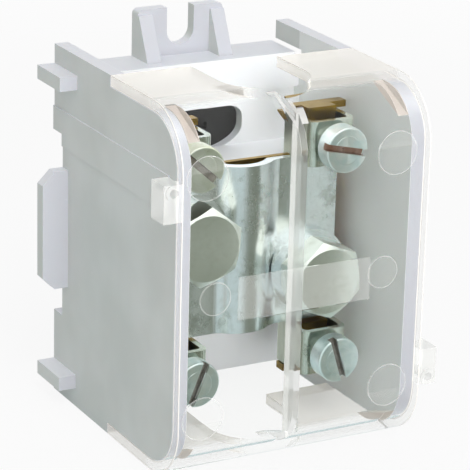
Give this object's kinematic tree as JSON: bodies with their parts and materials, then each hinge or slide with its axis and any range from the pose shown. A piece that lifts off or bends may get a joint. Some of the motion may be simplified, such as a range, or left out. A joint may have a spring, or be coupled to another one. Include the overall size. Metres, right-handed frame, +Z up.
{
  "type": "din rail distribution terminal",
  "caption": "Rail-mounted distribution terminal: grey housing, clear cover that clips on, brass body with a saddle clamp for the main conductor and screw cage clamps for the taps.",
  "frame": {"origin": "middle of the housing's flat face that lies on the rail", "axes": "+Y into the rail, +Z up, X across the housing; the cover faces -Y"},
  "size_m": [0.0576, 0.0523, 0.0732],
  "materials": {
    "housing_plastic": "satin moulded light grey",
    "clear_plastic": "clear, polished",
    "latch_plastic": "black moulded",
    "brass": "raw, slightly tarnished",
    "zinc_steel": "bright zinc plated",
    "screw_steel": "bright zinc plated"
  },
  "bodies": {
    "housing": {"base": "housing_plastic", "terminal_body": "brass", "body_screw_left": "zinc_steel", "body_screw_right": "zinc_steel"},
    "cover": {"cover": "clear_plastic"},
    "rail_latch": {"rail_latch": "latch_plastic"},
    "saddle": {"saddle": "zinc_steel", "washer_left": "zinc_steel", "washer_right": "zinc_steel", "spring_washer_left": "zinc_steel", "spring_washer_right": "zinc_steel"},
    "bolt_left": {"main_bolt_left": "zinc_steel"},
    "bolt_right": {"main_bolt_right": "zinc_steel"},
    "cage_top_left": {"clamp_cage_top_left": "zinc_steel"},
    "screw_top_left": {"clamp_screw_top_left": "screw_steel"},
    "cage_top_right": {"clamp_cage_top_right": "zinc_steel"},
    "screw_top_right": {"clamp_screw_top_right": "screw_steel"},
    "cage_bottom_left": {"clamp_cage_bottom_left": "zinc_steel"},
    "screw_bottom_left": {"clamp_screw_bottom_left": "screw_steel"},
    "cage_bottom_right": {"clamp_cage_bottom_right": "zinc_steel"},
    "screw_bottom_right": {"clamp_screw_bottom_right": "screw_steel"}
  },
  "joints": [
    {"name": "cover_slide", "type": "slide", "parent": "housing", "child": "cover", "axis": [0, -1, 0], "range_m": [0, 0.034]},
    {"name": "latch_slide", "type": "slide", "parent": "housing", "child": "rail_latch", "axis": [0, 0, 1], "range_m": [0, 0.0024], "stiffness_N_per_m": 600, "springref_m": -0.001},
    {"name": "saddle_slide", "type": "slide", "parent": "housing", "child": "saddle", "axis": [0, 1, 0], "range_m": [-0.004, 0]},
    {"name": "bolt_left_turn", "type": "hinge", "parent": "saddle", "child": "bolt_left", "pos_m": [-0.0125, -0.03, 0.0049], "axis": [0, 1, 0], "range_deg": [-1153, 0]},
    {"name": "bolt_right_turn", "type": "hinge", "parent": "saddle", "child": "bolt_right", "pos_m": [0.0125, -0.03, -0.0049], "axis": [0, 1, 0], "range_deg": [-1153, 0]},
    {"name": "cage_top_left_slide", "type": "slide", "parent": "housing", "child": "cage_top_left", "axis": [0, 1, 0], "range_m": [0, 0.0029]},
    {"name": "screw_top_left_turn", "type": "hinge", "parent": "housing", "child": "screw_top_left", "pos_m": [-0.0145, -0.0335, 0.0201], "axis": [0, 1, 0], "range_deg": [-1306, 0]},
    {"name": "cage_top_right_slide", "type": "slide", "parent": "housing", "child": "cage_top_right", "axis": [0, 1, 0], "range_m": [0, 0.0029]},
    {"name": "screw_top_right_turn", "type": "hinge", "parent": "housing", "child": "screw_top_right", "pos_m": [0.0145, -0.0335, 0.0201], "axis": [0, 1, 0], "range_deg": [-1306, 0]},
    {"name": "cage_bottom_left_slide", "type": "slide", "parent": "housing", "child": "cage_bottom_left", "axis": [0, 1, 0], "range_m": [0, 0.0029]},
    {"name": "screw_bottom_left_turn", "type": "hinge", "parent": "housing", "child": "screw_bottom_left", "pos_m": [-0.0145, -0.0335, -0.0201], "axis": [0, 1, 0], "range_deg": [-1306, 0]},
    {"name": "cage_bottom_right_slide", "type": "slide", "parent": "housing", "child": "cage_bottom_right", "axis": [0, 1, 0], "range_m": [0, 0.0029]},
    {"name": "screw_bottom_right_turn", "type": "hinge", "parent": "housing", "child": "screw_bottom_right", "pos_m": [0.0145, -0.0335, -0.0201], "axis": [0, 1, 0], "range_deg": [-1306, 0]}
  ],
  "couplings": [
    {"joint": "bolt_left_turn", "follows": "saddle_slide", "rad_per_m": 5026.5},
    {"joint": "bolt_right_turn", "follows": "saddle_slide", "rad_per_m": 5026.5},
    {"joint": "screw_top_left_turn", "follows": "cage_top_left_slide", "rad_per_m": -7854},
    {"joint": "screw_top_right_turn", "follows": "cage_top_right_slide", "rad_per_m": -7854},
    {"joint": "screw_bottom_left_turn", "follows": "cage_bottom_left_slide", "rad_per_m": -7854},
    {"joint": "screw_bottom_right_turn", "follows": "cage_bottom_right_slide", "rad_per_m": -7854}
  ]
}
